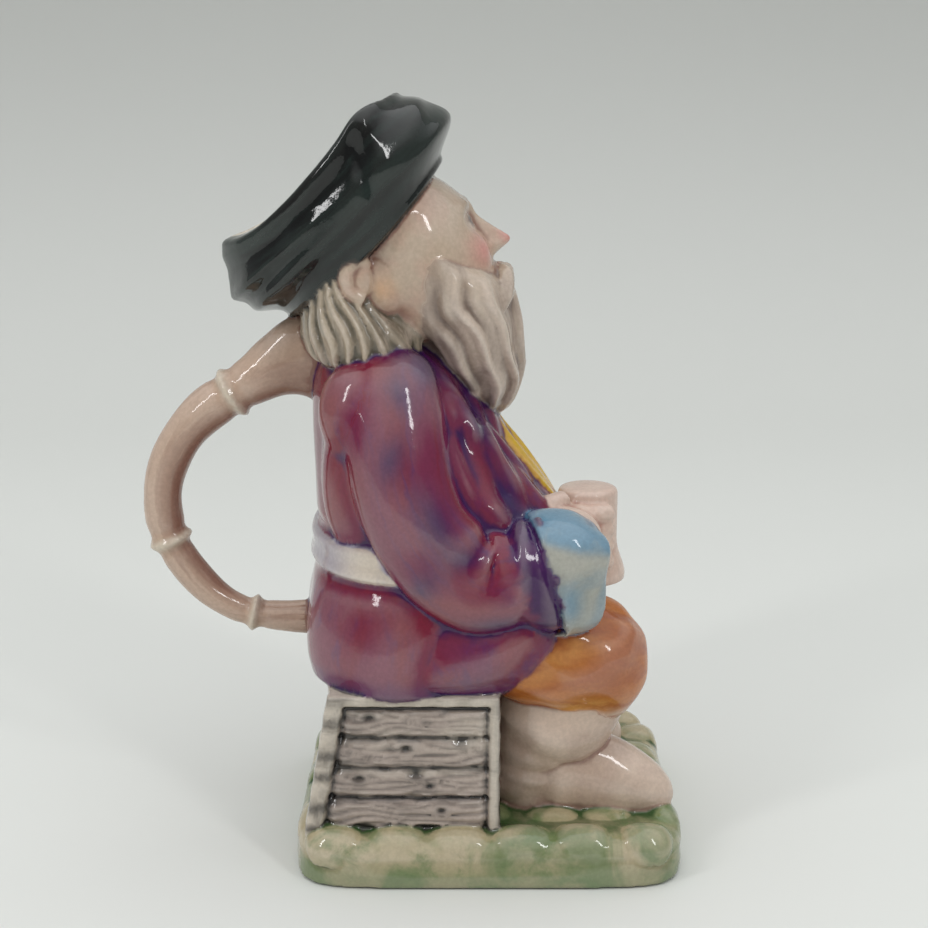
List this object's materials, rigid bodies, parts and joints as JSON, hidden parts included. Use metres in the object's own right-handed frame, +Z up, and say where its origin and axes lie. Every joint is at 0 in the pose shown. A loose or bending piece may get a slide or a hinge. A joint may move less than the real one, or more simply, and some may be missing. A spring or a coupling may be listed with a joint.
{
  "type": "toby jug",
  "caption": "Glazed earthenware character jug: a seated bearded figure in a tricorn hat with a small mug, on a crate and cobbled base, open at the hat, with a cane-shaped handle.",
  "frame": {"origin": "centre of the flat underside of the base", "axes": "+X is the way the seated figure faces, +Y is its left hand side, +Z is up; the handle stands out towards -X"},
  "size_m": [0.1573, 0.0993, 0.2171],
  "materials": {
    "glaze": "glossy clear glaze over painted colours"
  },
  "bodies": {
    "root": {"jug": "glaze"}
  },
  "joints": []
}
